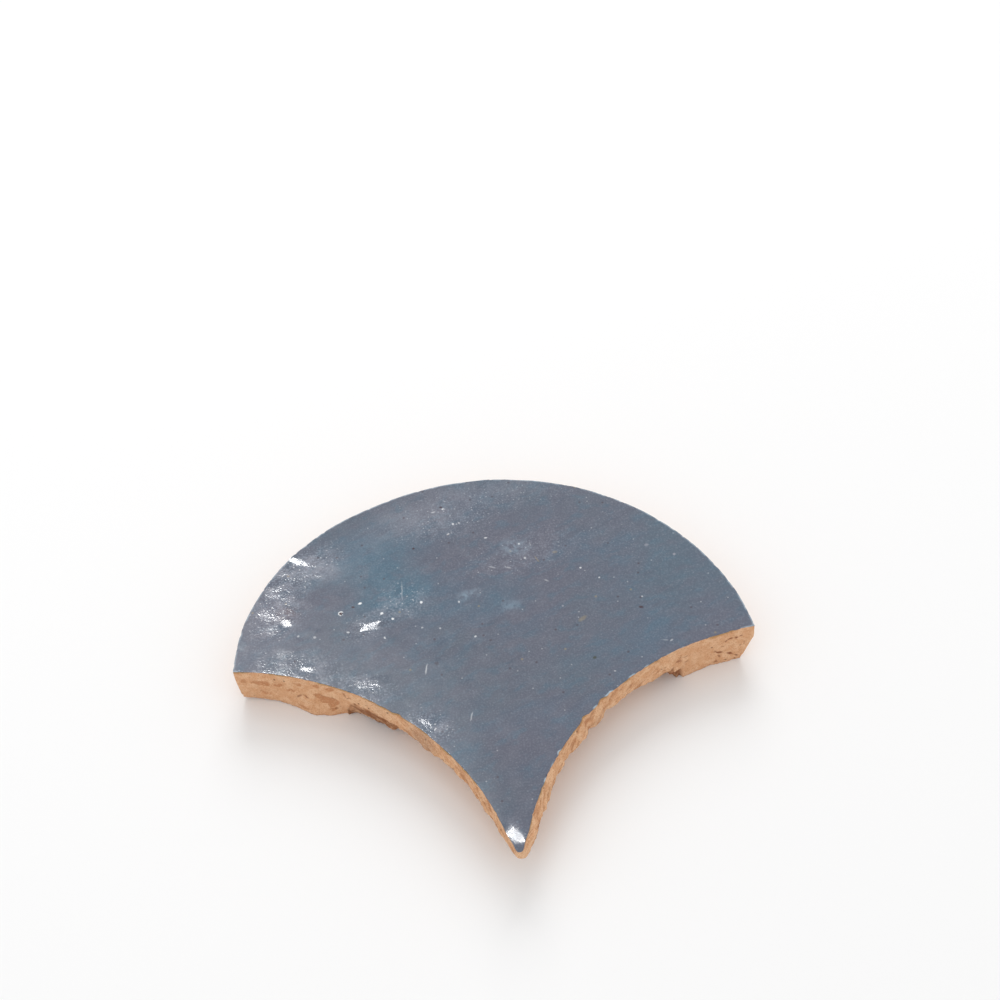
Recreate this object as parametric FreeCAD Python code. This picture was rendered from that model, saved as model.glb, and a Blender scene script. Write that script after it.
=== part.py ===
import FreeCAD, Part
import collections
import math
import os

# Fish scale tile: one piece of fired clay, glazed on its face and cut to shape by hand.
# Millimetres. The origin is the centre of the crown's circle, on the flat back of the tile.
# +Z comes out of the glazed face, and +Y points to the top of the crown.

# The face, seen from above
crown_radius = 59.5
right_corner_angle = 6.9       # degrees up from +X, where the crown meets the right cove
shoulder_angle = 114.0         # where the evenly cut crown passes into the left flank
left_corner_angle = 169.2      # where the left flank meets the left cove
right_corner_flare = 1.2       # how far the cut strayed outside the circle at the right corner
left_flank_swell = 0.9         # the same in the middle of the left flank
left_corner_trim = 1.1         # how far the cut strayed inside the circle at the left corner
left_cove_radius = 69.4        # the hollow sides, which take the crowns of the next course
right_cove_radius = 63.1
tip_drop = 42.6                # from the crown's centre down to the tip
tip_lean = 2.1                 # how far the tip stands to the right of the centre
tip_width = 2.8                # the blunt end of the tip
tip_bulge = 1.1                # how far the blunt end is rounded

# The edge, seen from the side
thickness = 12.0
upright_depth = 4.0            # the upright part of the edge, just below the face
upright_wander = 0.9           # how much that depth changes from stroke to stroke
left_cove_flare = 0.9          # how far its foot stands out beyond the face along the coves
right_cove_flare = 1.3
flare_wander = 0.4             # the share by which that changes from stroke to stroke
tip_left_flare = 0.3           # the same where the coves reach the tip
tip_right_flare = 1.5
tip_depth = 2.8                # how deep the upright part is there
crown_undercut = 3.2           # how far the back is set in behind the face along the crown
left_corner_undercut = 0.5
right_corner_undercut = 2.9
left_lobe_undercut = 0.6       # along the stubs of the coves, which were left nearly square
right_lobe_undercut = 0.1
left_lobe_swell = 1.9          # how far the foot of a stub swells out again on its way to the break
right_lobe_swell = 0.2
left_lobe_length = 27.5        # how long those stubs are
right_lobe_length = 18.5
break_length = 2.6             # the clay broke away where the deep undercut starts
break_depth = 7.0              # how deep the upright part is there
break_taper = 14.0             # how far from there it takes to rise to its usual depth
cove_undercut = 7.8            # just past the break
tip_undercut = 4.2             # where the last stroke to the tip starts
undercut_wander = 0.9          # how much the undercut changes from stroke to stroke
tip_stroke = 16.0              # the last stroke on each side of the tip
back_tip_reach = 5.0           # how far the back runs on between those two strokes
back_tip_width = 3.0
crown_stroke = 11.0            # about the length of one chisel stroke
cove_stroke = 8.5

# A chip under the left lobe, which lifts its corner off whatever the tile lies on
chip_length = 12.0
chip_height = 0.7

# From stroke to stroke the hand strays by the sine of a steadily growing angle
stray_step = math.radians(137.5)


# The end of a chisel stroke: its share of the way along a side, how far the back is set in there,
# how far the foot of the upright part stands out, and how deep below the face that foot is
Mark = collections.namedtuple("Mark", "share undercut flare depth")


class Side:
    """One arc of the face's outline. The outline runs anticlockwise, seen from above."""

    def __init__(self, arc, hollow, inward_at_ends=None):
        self.arc = arc
        self.centre = arc.centerOfCurvature(arc.FirstParameter)
        self.hollow = hollow
        self.inward_at_ends = inward_at_ends or {}
        self.length = arc.length()

    def point(self, share):
        """The point at a share of the way along the side."""
        first = self.arc.FirstParameter
        return self.arc.value(first + share * (self.arc.LastParameter - first))

    def inward(self, share):
        """The level direction from that point into the tile."""
        if share in self.inward_at_ends:
            return self.inward_at_ends[share]
        radial = (self.point(share) - self.centre).normalize()
        return radial if self.hollow else radial * -1

    def foot(self, mark):
        """The foot of the upright part of the edge, below a stroke end and a little outside it."""
        flared = self.point(mark.share) - self.inward(mark.share) * mark.flare
        return flared - FreeCAD.Vector(0, 0, mark.depth)

    def back(self, share, undercut):
        """The point of the back's outline, set in behind the point at that share."""
        point = self.point(share) + self.inward(share) * undercut
        return FreeCAD.Vector(point.x, point.y, 0)


def polar(radius, degrees):
    """A point of the face at a distance and an angle from the crown's centre."""
    angle = math.radians(degrees)
    return FreeCAD.Vector(radius * math.cos(angle), radius * math.sin(angle), thickness)


def cove_arc(start, end, radius):
    """The arc between two points of the outline that bows into the tile."""
    half_chord = (end - start) * 0.5
    inward = FreeCAD.Vector(-half_chord.y, half_chord.x, 0).normalize()
    bow = radius - math.sqrt(radius ** 2 - half_chord.Length ** 2)
    return Part.Arc(start, start + half_chord + inward * bow, end)


def stroke_ends(start, end, length, stroke):
    """The shares at which the strokes between two shares of a side end, both included."""
    count = max(1, round((end - start) * length / stroke))
    return [start + (end - start) * index / count for index in range(count + 1)]


def between(start, end, share):
    return start + (end - start) * share


def crown_marks(side):
    """The stroke ends of the crown or the flank."""
    return [Mark(share, crown_undercut, 0, upright_depth)
            for share in stroke_ends(0, 1, side.length, crown_stroke)]


def cove_marks(side, lobe_length, lobe_undercut, lobe_swell, cove_flare, tip_flare):
    """The stroke ends of a cove from its corner on: the square stub, then the deep undercut."""
    stub_end = lobe_length / side.length
    deep_start = (lobe_length + break_length) / side.length
    deep_end = 1 - tip_stroke / side.length
    marks = []
    for share in stroke_ends(0, stub_end, side.length, cove_stroke):
        way = share / stub_end
        swell = lobe_swell * math.sin(math.pi * way ** 2)
        marks.append(Mark(share, lobe_undercut - swell, 0, between(upright_depth, break_depth, way)))
    for share in stroke_ends(deep_start, deep_end, side.length, cove_stroke):
        way = (share - deep_start) / (deep_end - deep_start)
        rise = min(1, (share - deep_start) * side.length / break_taper)
        marks.append(Mark(share, between(cove_undercut, tip_undercut, way), cove_flare,
                          between(break_depth, upright_depth, rise)))
    return marks + [Mark(1, tip_undercut, tip_flare, tip_depth)]


def from_other_end(marks):
    """The same stroke ends for a side that runs the other way."""
    return [mark._replace(share=1 - mark.share) for mark in reversed(marks)]


def strays(count):
    """How far the hand strays at each stroke end, from -1 to 1 and nothing at the corners."""
    return [math.sin(stray_step * index) * math.sin(math.pi * index / (count - 1))
            for index in range(count)]


def arc_edge(start, middle, end):
    return Part.Arc(start, middle, end).toShape()


# Corners, tip and sides of the face
right_corner = polar(crown_radius + right_corner_flare, right_corner_angle)
shoulder = polar(crown_radius, shoulder_angle)
left_corner = polar(crown_radius - left_corner_trim, left_corner_angle)
tip = FreeCAD.Vector(tip_lean, -tip_drop, thickness)
tip_left = tip + FreeCAD.Vector(-tip_width / 2, tip_bulge, 0)
tip_right = tip + FreeCAD.Vector(tip_width / 2, tip_bulge, 0)
crown_middle = polar(crown_radius, (right_corner_angle + shoulder_angle) / 2)
flank_middle = polar(crown_radius + left_flank_swell, (shoulder_angle + left_corner_angle) / 2)

crown = Side(Part.Arc(right_corner, crown_middle, shoulder), hollow=False)
left_flank = Side(Part.Arc(shoulder, flank_middle, left_corner), hollow=False)
left_cove = Side(cove_arc(left_corner, tip_left, left_cove_radius), hollow=True)
right_cove = Side(cove_arc(tip_right, right_corner, right_cove_radius), hollow=True)
nose = Side(Part.Arc(tip_left, tip, tip_right), hollow=False,
            inward_at_ends={0: left_cove.inward(1), 1: right_cove.inward(0)})

# Corners and tip of the back
back_right_corner = crown.back(0, right_corner_undercut) + right_cove.inward(1) * right_lobe_undercut
back_shoulder = crown.back(1, crown_undercut)
back_left_corner = left_flank.back(1, left_corner_undercut) + left_cove.inward(0) * left_lobe_undercut
blade_left = left_cove.back(1 - tip_stroke / left_cove.length, tip_undercut)
blade_right = right_cove.back(tip_stroke / right_cove.length, tip_undercut)
back_tip = (blade_left + blade_right) * 0.5 - FreeCAD.Vector(0, back_tip_reach, 0)
back_tip_left = back_tip - FreeCAD.Vector(back_tip_width / 2, 0, 0)
back_tip_right = back_tip + FreeCAD.Vector(back_tip_width / 2, 0, 0)

# The stroke ends of each side, and the point of the back where the side starts
left_cove_marks = cove_marks(left_cove, left_lobe_length, left_lobe_undercut, left_lobe_swell,
                             left_cove_flare, tip_left_flare)
right_cove_marks = cove_marks(right_cove, right_lobe_length, right_lobe_undercut, right_lobe_swell,
                              right_cove_flare, tip_right_flare)
nose_marks = [Mark(0, 0, tip_left_flare, tip_depth),
              Mark(0.5, back_tip.y - tip.y, 0, tip_depth),
              Mark(1, 0, tip_right_flare, tip_depth)]
sides = (
    (crown, crown_marks(crown), back_right_corner),
    (left_flank, crown_marks(left_flank), back_shoulder),
    (left_cove, left_cove_marks, back_left_corner),
    (nose, nose_marks, back_tip_left),
    (right_cove, from_other_end(right_cove_marks), back_tip_right),
)

# Three outlines, stroke by stroke: the face, the foot of the upright part, and the back
face_edges = []
foot_edges = []
back_outline = []
for side, marks, back_start in sides:
    strayed = [mark._replace(undercut=mark.undercut + undercut_wander * stray,
                             flare=mark.flare * (1 + flare_wander * stray),
                             depth=mark.depth + upright_wander * stray)
               for mark, stray in zip(marks, strays(len(marks)))]
    back_outline += [back_start] + [side.back(mark.share, mark.undercut) for mark in strayed[1:-1]]
    for start, end in zip(strayed, strayed[1:]):
        middle = Mark(*(between(first, last, 0.5) for first, last in zip(start, end)))
        stroke = (start, middle, end)
        face_edges.append(arc_edge(*(side.point(mark.share) for mark in stroke)))
        foot_edges.append(arc_edge(*(side.foot(mark) for mark in stroke)))

# The body of the tile: upright at the face, then cut back stroke by stroke to the flat back
back_wire = Part.makePolygon(back_outline + [back_outline[0]])
tile = Part.makeLoft([back_wire, Part.Wire(foot_edges), Part.Wire(face_edges)], True, True)

# The chip under the left lobe: a wedge that opens from nothing to its height at the corner
corner_out = FreeCAD.Vector(left_corner.x, left_corner.y, 0).normalize()
along_chip = FreeCAD.Vector(-corner_out.y, corner_out.x, 0)
chip_start = FreeCAD.Vector(left_corner.x, left_corner.y, 0) - corner_out * chip_length
chip_reach = 2 * chip_length
chip_rise = FreeCAD.Vector(0, 0, chip_height * chip_reach / chip_length)
chip_profile = Part.makePolygon([chip_start, chip_start + corner_out * chip_reach,
                                 chip_start + corner_out * chip_reach + chip_rise, chip_start])
chip_half_width = crown_radius
chip_profile.translate(along_chip * -chip_half_width)
chip = Part.Face(chip_profile).extrude(along_chip * (2 * chip_half_width))
tile = tile.cut(chip)

os.makedirs("parts", exist_ok=True)
tile.exportStep("parts/fish_scale_tile.step")

print("solids", len(tile.Solids), "valid", tile.isValid(), "faces", len(tile.Faces), "box", tile.BoundBox)
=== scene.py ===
import collections
import math

import bmesh
import bpy
import numpy as np
from mathutils import Matrix, Vector, noise
from mathutils.bvhtree import BVHTree
from mathutils.kdtree import KDTree


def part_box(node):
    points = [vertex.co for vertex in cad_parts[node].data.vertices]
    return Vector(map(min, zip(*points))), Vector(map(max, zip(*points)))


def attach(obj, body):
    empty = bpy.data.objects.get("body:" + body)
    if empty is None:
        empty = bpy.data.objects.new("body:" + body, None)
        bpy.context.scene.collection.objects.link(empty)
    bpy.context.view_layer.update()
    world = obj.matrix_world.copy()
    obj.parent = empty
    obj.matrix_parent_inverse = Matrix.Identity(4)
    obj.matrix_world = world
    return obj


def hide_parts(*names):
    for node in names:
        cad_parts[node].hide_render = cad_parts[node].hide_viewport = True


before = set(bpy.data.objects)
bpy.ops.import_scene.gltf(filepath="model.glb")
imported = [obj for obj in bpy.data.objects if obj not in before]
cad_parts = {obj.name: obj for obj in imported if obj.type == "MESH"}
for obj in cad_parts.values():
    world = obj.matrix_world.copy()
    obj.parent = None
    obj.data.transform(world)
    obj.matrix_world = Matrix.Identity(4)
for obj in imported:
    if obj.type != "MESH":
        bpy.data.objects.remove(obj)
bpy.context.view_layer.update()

# A fish scale tile: one piece of fired clay, glazed on its face and chiselled to shape by hand.
# The frame is in metres. Sizes are written as so many millimetres, and so are places on the face,
# whose origin is the centre of the crown's circle.
MM = 0.001

TILE = "fish_scale_tile"
tile_low, tile_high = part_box(TILE)
face_height = tile_high.z

# How finely the tile is modelled
edge_pitch = 0.42 * MM
face_pitch = 0.5 * MM
back_pitch = 1.3 * MM
wall_rows = 30
rim_rings = (0.12 * MM, 0.2 * MM)
sliver = 0.6 * edge_pitch      # what is narrower along the rim of a grid is taken up
level_enough = 0.95            # how upright the normal of the face or the back is, at the least
weld = 0.001 * MM
wall_belly = 4 * MM            # the rows of the edge are found from this far outside it
row_spread = 6                 # stations over which the rows even out their slant
sharp_angle = math.radians(38)
back_depth = 30                # what the back has for its distance from the arris

# What each point of the mesh notes for the finish: its depth below the arris, negative on the face, its
# way along the edge, and how fully it is flaked off, furrowed or hollowed
noted = ("from_arris", "way", "flake", "furrow", "hollow")

# Relief of the glazed face, in millimetres
glaze_level = 0.25             # how far the glaze lies below the top of the solid
face_swell = 0.2
swell_size = 24
ripple = 0.03
ripple_size = 7
lively_ripple = 0.02
lively_size = 3
rim_fall = 0.012
rim_fall_width = 0.5
tip_fall = 0.3
tip_fall_length = 2.4
tip_pinch = 0.35               # the share by which the end of the tip is narrowed
tip_pinch_length = 5

# Where the glaze is lively and glitters, its relief is rougher and its colour carries painted sheen and
# glints: the middle, reach and turn of each patch, and how strongly
lively_patches = (
    ((-41, 38), (14, 8), 25, 1.0),
    ((-47, 27), (9, 14), -20, 1.0),
    ((-43, 10.5), (15, 6.5), -12, 0.55),
    ((-26, 20), (9, 5), 30, 0.8),
    ((-28, 3), (12, 5), -25, 0.7),
    ((-14, -9), (9, 5), -40, 0.8),
    ((-18, 25), (9, 7), 0, 0.5),
    ((-7, 47), (18, 8), 5, 0.38),
    ((11, 36), (20, 9), 10, 0.32),
    ((4, 54), (34, 8), 0, 0.2),
    ((32, 40), (20, 11), -40, 0.08),
    ((1.5, -38), (4, 5), 0, 0.4),
)

# Dents in the glaze: their middle, reach and turn, and how many degrees they lean left and forwards
dents = (
    ((-42.2, 40.5), (4.8, 2.2), -32, 3.6, 6.8),
    ((-37.2, 35.2), (2.2, 1.3), 15, 1.6, 3.2),
    ((-45.1, 22.8), (2.0, 2.2), 20, 3, 5.3),
    ((-26.0, 19.3), (6.0, 1.8), 21, 4.8, 5.6),
    ((-40.8, 9.4), (3.0, 1.2), 3, 2.5, 4.1),
    ((-27.2, 3.2), (5.4, 1.8), 14, 1.7, 1.9),
    ((-15.2, -8.4), (3.4, 1.6), -40, 3.0, 2.4),
    ((1.6, -39.6), (5.6, 3.8), -47, 7.6, 0.8),
    ((-46.0, 37.4), (3.0, 2.0), 40, 1.2, 2.0),
    ((-47.5, 32.0), (4.2, 3.2), 30, 1.0, 1.8),
    ((-49.2, 25.6), (4.2, 3.4), -20, 0.9, 1.6),
    ((-40.2, 18.9), (3.4, 2.0), 10, 1.1, 1.7),
    ((-45.0, 13.9), (5.2, 2.4), -10, 0.5, 0.8),
    ((-20.0, 22.0), (2.4, 1.6), 20, 2.4, 3.2),
    ((-6.0, 46.4), (5.0, 2.6), 20, 1.5, 2.1),
    ((10.5, 35.0), (7.0, 3.0), -20, 1.4, 1.6),
)
dent_floor = 0.4               # the share of a dent's reach over which it leans evenly

# Relief of the chiselled clay, in millimetres
relief_start = (0.05, 0.9)     # how far below the arris it sets in
undercut_range = (1.5, 4)      # how far in the foot is where the undercut starts to count, and counts fully
hand_wobble = 0.13
hand_wobble_length = 7
nick_depth = 0.14
nick_length = 1.2
nick_range = (0.1, 0.8)        # the part of a random wave that makes a nick
nick_reach = 3                 # how far into the face the strayed cut pulls the glaze with it
stroke_depth = 0.38
stroke_level = 0.3             # where between ridge and furrow the edge stays as it was drawn
stub_stroke = 0.3              # the share of the depth on the stubs, which were left nearly square
stroke_length = 7
stroke_height = 1.8
stroke_slant = 0.45            # how steeply the chisel's furrows run down towards the tip
tip_way = 175                  # the way along the edge from the top of the crown to the tip
furrow_start = -0.3            # where between ridge and furrow the clay starts to look furrowed
furrow_span = 0.9
crown_furrow = 0.35            # the share of that on the crown, which was cut more evenly
flake_depth = 0.24
flake_length = 3.6
flake_height = 1.7
flake_share = 0.24             # how much of the crown's edge is flaked off
flake_shuffle = 5.7            # which of its flakes those are, at random
flake_rim = (0.02, 0.2)        # how softly the flakes of the crown end
flake_floor = 0.7              # the share of a stub flake's reach over which it is level
flake_fray = 0.7               # how ragged the flakes are
flake_fray_size = 1.5
flake_seed = 7                 # frays them in the same way at every run
deep_flake_loss = 0.6          # the share of the crown's flakes that is missing where it is undercut
stub_end_round = 1.6           # how far the foot of the left stub is rounded in at its end
stub_end_length = 5.5
stub_end_height = 6
lump_depth = 0.22
lump_size = 4
crumb_depth = 0.11
crumb_size = 0.9
foot_round = 0.3               # how far the foot of a stub is rounded in
foot_round_height = 1.6
face_smoothing = 4             # how often the grid of the face is evened out along its rim
back_smoothing = 15            # the same of the back
foot_reach = 6                 # how far into the back the strayed foot pulls it
corners = ((-57.4, 10.9), (60.3, 7.3))
stub_reach = (18, 24)          # how far from a corner the chisel's furrows set in
corner_calm = 4                # how far from a corner the edge is smoother
corner_relief = 0.25           # the share of the relief that is left at the corner

# Flakes that came off the left stub: the way along the edge and the depth of their middle, their reach
# and turn, and their strength
stub_flakes = (
    ((84.6, 4.2), (1.2, 0.65), 0, 0.6),
    ((88.5, 4.6), (2.2, 1.5), 0, 1.0),
    ((89.3, 8.6), (1.6, 0.8), 25, 0.6),
    ((92.7, 5.0), (1.1, 0.7), 0, 0.8),
    ((95.7, 6.2), (1.2, 0.55), 0, 0.8),
    ((97.3, 3.3), (0.9, 0.65), 0, 0.7),
    ((98.8, 11.2), (2.0, 0.8), 0, 0.6),
    ((101.9, 2.1), (1.3, 0.8), 0, 0.8),
    ((104.9, 2.1), (1.4, 0.8), 0, 0.8),
    ((102.4, 6.2), (1.4, 0.8), 20, 0.8),
    ((104.4, 6.9), (1.8, 1.5), 10, 0.9),
    ((106.4, 7.4), (1.5, 2.0), 0, 1.0),
    ((106.8, 10.2), (1.1, 0.9), 0, 0.8),
)

# Hollows below the arris beside the stubs: the points of the arris where each starts and ends, how far
# below the face it starts at both ends, and how much it leans in there
hollows = (
    ((-30.6, 1.1), (-20.2, -7.2), (3.9, 4.6), (0.28, 0.28)),
    ((42.6, 1.5), (34.6, -2.0), (5.2, 5.0), (0.32, 0.62)),
)
hollow_rough = 0.2
hollow_rough_size = 2.2
hollow_rim = 1                 # how softly it starts
hollow_foot = 10               # how far down it reaches where the edge is cut in more than that
hollow_start = 0.3             # how it sets in along the arris
hollow_fade = 3                # how it runs out there

# Larger nicks in the arris: their place, half length and depth
nicks = (
    ((23.7, -8.0), 1.7, 0.5),
    ((19.5, -11.9), 1.5, 0.7),
    ((43.5, 3.0), 0.9, 0.25),
    ((13.5, -20.0), 1.0, 0.3),
    ((9.0, -28.5), 1.2, 0.3),
    ((-21.0, -5.6), 1.3, 0.3),
    ((-8.2, -22.4), 1.1, 0.25),
)

# The camera, measured from the photograph
picture_width = 1000
sensor_width = 36
camera_focal = 1802
camera_distance = 432.2 * MM
camera_elevation = math.radians(49.76)
camera_turn = math.radians(-1.25)
camera_roll = math.radians(-5.49)
camera_target = Vector((7.0 * MM, 52.1 * MM, face_height))

# The studio: an even white light, and round lamps that point at the origin
studio_light = 0.852
softbox_place = (-0.34, 0.68, 1.28)
softbox_size = 0.2
softbox_watts = 5
softbox_rim_size = 0.68
softbox_rim_watts = 1.1
backdrop_place = (0.15, 1.5, 1.05)
backdrop_size = 1.2
backdrop_watts = 14
floor_reach = 3
floor_drop = 0.05 * MM         # keeps the floor clear of the back
floor_white = 0.9
floor_rough = 0.6


# The shape of the tile

def merged_copy(solid):
    """A copy of the solid with its loose triangles joined."""
    mesh = bmesh.new()
    mesh.from_mesh(solid)
    bmesh.ops.remove_doubles(mesh, verts=mesh.verts[:], dist=weld)
    mesh.normal_update()
    return mesh


def level_side(solid, up, pitch):
    """The face (up 1) or the back (up -1) as one polygon, with its outline divided at that pitch."""
    mesh = merged_copy(solid)
    others = [face for face in mesh.faces if face.normal.z * up < level_enough]
    bmesh.ops.delete(mesh, geom=others, context="FACES")
    bmesh.ops.dissolve_faces(mesh, faces=mesh.faces[:], use_verts=False)
    for edge in mesh.edges[:]:
        cuts = math.ceil(edge.calc_length() / pitch) - 1
        if cuts > 0:
            bmesh.ops.subdivide_edges(mesh, edges=[edge], cuts=cuts)
    return mesh


def tree_of(points):
    """A tree that finds the nearest of the points."""
    tree = KDTree(len(points))
    for index, point in enumerate(points):
        tree.insert(point, index)
    tree.balance()
    return tree


def cut_in_squares(mesh, polygon, pitch):
    """Cuts a level polygon of the mesh into a grid, and takes up the slivers along its rim."""
    rim = polygon.verts[:]
    pieces = [polygon]
    for axis in (0, 1):
        across = Vector((1 - axis, axis, 0))
        ahead = pieces
        pieces = []
        for step in range(1, math.ceil((tile_high[axis] - tile_low[axis]) / pitch)):
            plane = tile_low[axis] + step * pitch
            edges = list(dict.fromkeys(edge for face in ahead for edge in face.edges))
            cut = bmesh.ops.bisect_plane(
                mesh, geom=ahead + edges, dist=weld, plane_co=across * plane, plane_no=across)
            faces = [item for item in cut["geom"] if isinstance(item, bmesh.types.BMFace)]
            ahead = [face for face in faces if face.calc_center_median()[axis] > plane]
            pieces += [face for face in faces if face.calc_center_median()[axis] <= plane]
        pieces += ahead
    verts = list(dict.fromkeys(vert for face in pieces for vert in face.verts))
    rim_tree = tree_of([vert.co for vert in rim])
    nearest = {vert: rim_tree.find(vert.co) for vert in verts}
    taken_up = {vert: rim[index] for vert, (_, index, distance) in nearest.items()
                if distance < sliver and vert is not rim[index]}
    bmesh.ops.weld_verts(mesh, targetmap=taken_up)
    rim = set(rim)
    pieces = [face for face in pieces if face.is_valid]
    slivers = [face for face in pieces if rim.issuperset(face.verts)]
    inside = set(pieces)
    seams = [edge for face in slivers for edge in face.edges if inside.issuperset(edge.link_faces)]
    bmesh.ops.dissolve_edges(mesh, edges=list(dict.fromkeys(seams)), use_verts=False)


def feet_of(arris, solid):
    """For each point of the arris, the point of the back's outline that its edge runs down to."""
    mesh = level_side(solid, -1, edge_pitch / 4)
    mesh.faces.ensure_lookup_table()
    outline = [vert.co.copy() for vert in reversed(mesh.faces[0].verts)]
    mesh.free()
    tree = tree_of(outline)
    count = len(outline)
    nearest = np.array([tree.find(Vector((point.x, point.y, 0)))[1] for point in arris])
    steps = (np.roll(nearest, -1) - nearest + count / 2) % count - count / 2
    around = np.concatenate([steps, steps, steps])
    reach = np.arange(-3 * row_spread, 3 * row_spread + 1)
    weights = np.exp(-(reach / row_spread) ** 2 / 2)
    even = np.convolve(around, weights / weights.sum(), "same")[len(steps):2 * len(steps)]
    even = np.maximum(even, 1)
    places = nearest[0] + np.concatenate([[0], np.cumsum(even)[:-1]]) * (count / even.sum())
    return [outline[int(place) % count].lerp(outline[int(place + 1) % count], place % 1)
            for place in places]


def path_down(start, end, outward, surface):
    """Evenly spaced points on the solid's edge, from a point of the arris to its foot."""
    samples = 3 * wall_rows
    points = [start]
    for index in range(1, samples):
        share = index / samples
        wanted = start.lerp(end, share) + outward * (wall_belly * 4 * share * (1 - share))
        points.append(surface.find_nearest(wanted)[0])
    points.append(end)
    lengths = [0.0]
    for before, after in zip(points, points[1:]):
        lengths.append(lengths[-1] + (after - before).length)
    wanted = np.linspace(0, lengths[-1], wall_rows + 1)
    columns = [np.interp(wanted, lengths, [point[axis] for point in points]) for axis in range(3)]
    return [Vector(place) for place in zip(*columns)], wanted


def outward_at(points):
    """The level direction out of the tile at each point of its anticlockwise outline."""
    directions = []
    for index, point in enumerate(points):
        along = points[(index + 1) % len(points)] - points[index - 1]
        directions.append(Vector((along.y, -along.x, 0)).normalized())
    return directions


def ways_along(points):
    """The way from the top of the crown along the outline to each of its points, in millimetres.

    It grows anticlockwise as far as the right corner, and is negative from there back to the top."""
    count = len(points)
    top = max(range(count), key=lambda index: points[index].y)
    right = max(range(count), key=lambda index: points[index].x)
    ways = [0.0] * count
    for step in range(1, count):
        index = (top + step) % count
        ways[index] = ways[index - 1] + (points[index] - points[index - 1]).length / MM
    for step in range(1, (top - right) % count):
        index = (top - step) % count
        ahead = (index + 1) % count
        ways[index] = ways[ahead] - (points[ahead] - points[index]).length / MM
    return ways


# Relief, in millimetres

def ease(low, high, value):
    """0 up to the low value, 1 from the high one on, and a soft step between."""
    share = min(max((value - low) / (high - low), 0), 1)
    return share * share * (3 - 2 * share)


def wave(place, size):
    """A smooth random wave from about -1 to 1, about that many millimetres long."""
    return noise.fractal(place / size, 1, 2, 2)


def bowl(place, centre, reach, turn, floor=0):
    """1 in the middle of an oval on the face, up to that share of its reach, and 0 from its rim on."""
    offset = Vector((place.x - centre[0], place.y - centre[1]))
    offset.rotate(Matrix.Rotation(-math.radians(turn), 2))
    return 1 - ease(floor, 1, math.hypot(offset.x / reach[0], offset.y / reach[1]))


def liveliness(place):
    return min(1, sum(strength * bowl(place, *patch) for *patch, strength in lively_patches))


def dents_rise(place):
    """How far the dents lift the glaze, or lower it where that is negative."""
    rise = 0
    for centre, reach, turn, left, forwards in dents:
        inside = bowl(place, centre, reach, turn, dent_floor)
        if inside:
            across = (place.x - centre[0]) * math.tan(math.radians(left))
            along = (place.y - centre[1]) * math.tan(math.radians(forwards))
            rise += inside * (across + along)
    return rise


def glaze_dip(place, rim):
    """How far the glaze lies below the top of the solid, at a distance in from the arris."""
    dip = glaze_level + face_swell * (0.5 + 0.5 * wave(place, swell_size))
    dip += ripple * wave(place, ripple_size)
    dip += lively_ripple * liveliness(place) * wave(place, lively_size)
    dip += rim_fall * (1 - ease(0, rim_fall_width, rim))
    from_tip = place.y - tile_low.y / MM
    dip += tip_fall * (1 - ease(0, tip_fall_length, from_tip))
    return dip - dents_rise(place)


def strayed_cut(place):
    """How far inside the drawn outline the hand cut the arris."""
    cut = hand_wobble * wave(place, hand_wobble_length)
    cut += nick_depth * ease(*nick_range, wave(place, nick_length))
    for centre, half_length, depth in nicks:
        cut += depth * bowl(place, centre, (half_length, half_length), 0)
    return cut


def stub_flaked(place, way, depth):
    """How fully a flake has come off at a place of the stubs, from 0 to 1."""
    frayed = Vector((way, depth, 0)) + flake_fray * noise.noise_vector(place / flake_fray_size)
    return max(strength * bowl(frayed, *oval, flake_floor) for *oval, strength in stub_flakes)


def crown_flaked(place):
    """1 where a flake of clay has come off the crown's edge, and 0 elsewhere."""
    frayed = place + flake_fray * noise.noise_vector(place / flake_fray_size)
    scaled = Vector((frayed.x / flake_length, frayed.y / flake_length, frayed.z / flake_height))
    distances, centres = noise.voronoi(scaled)
    chance = 0.5 + 0.5 * noise.cell(centres[0] * flake_shuffle)
    gone = 1 if chance < flake_share else 0
    return gone * ease(*flake_rim, distances[1] - distances[0])


def furrowed(way, depth):
    """1 in the furrows that the chisel left along the edge, and less towards the ridges between them."""
    slanted = depth + stroke_slant * abs(way - tip_way)
    place = Vector((way / stroke_length, slanted / stroke_height, 0))
    return 1 - 2 * abs(wave(place, 1))


def worn_in(place, depth, length, undercut, stroke, flake):
    """How far the relief takes the edge in, at a depth below the arris on an edge of that length."""
    worn = flake_depth * flake + crumb_depth * wave(place, crumb_size)
    worn += lump_depth * wave(place, lump_size) * (1 - undercut)
    worn += stroke_depth * (stroke - stroke_level) * (stub_stroke + (1 - stub_stroke) * undercut)
    worn *= ease(*relief_start, depth)
    return worn + foot_round * (1 - undercut) * ease(length - foot_round_height, length, depth) ** 2


def stub_rounded(way, stub_end, depth, length):
    """How far the foot of the left stub is rounded in towards its end."""
    if way >= stub_end:
        return 0
    rounded = ease(stub_end - stub_end_length, stub_end, way)
    return stub_end_round * rounded * ease(length - stub_end_height, length, depth)


def hollow_zones(arris):
    """For each hollow, the ways along the outline at which it starts and ends, its depths and leans."""
    return [(arris.way_at(*start), arris.way_at(*end), depths, leans)
            for start, end, depths, leans in hollows]


def hollow_at(zones, way):
    """How fully a hollow is formed at a way along the outline, how deep it starts and how it leans."""
    for start, end, depths, leans in zones:
        share = (way - start) / (end - start)
        length = abs(end - start)
        reached = share * length
        faded = ease(length - hollow_fade, length, reached)
        inside = ease(-hollow_start, hollow_start, reached) * (1 - faded)
        if inside:
            return inside, float(np.interp(share, (0, 1), depths)), float(np.interp(share, (0, 1), leans))
    return 0, 0, 0


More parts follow.
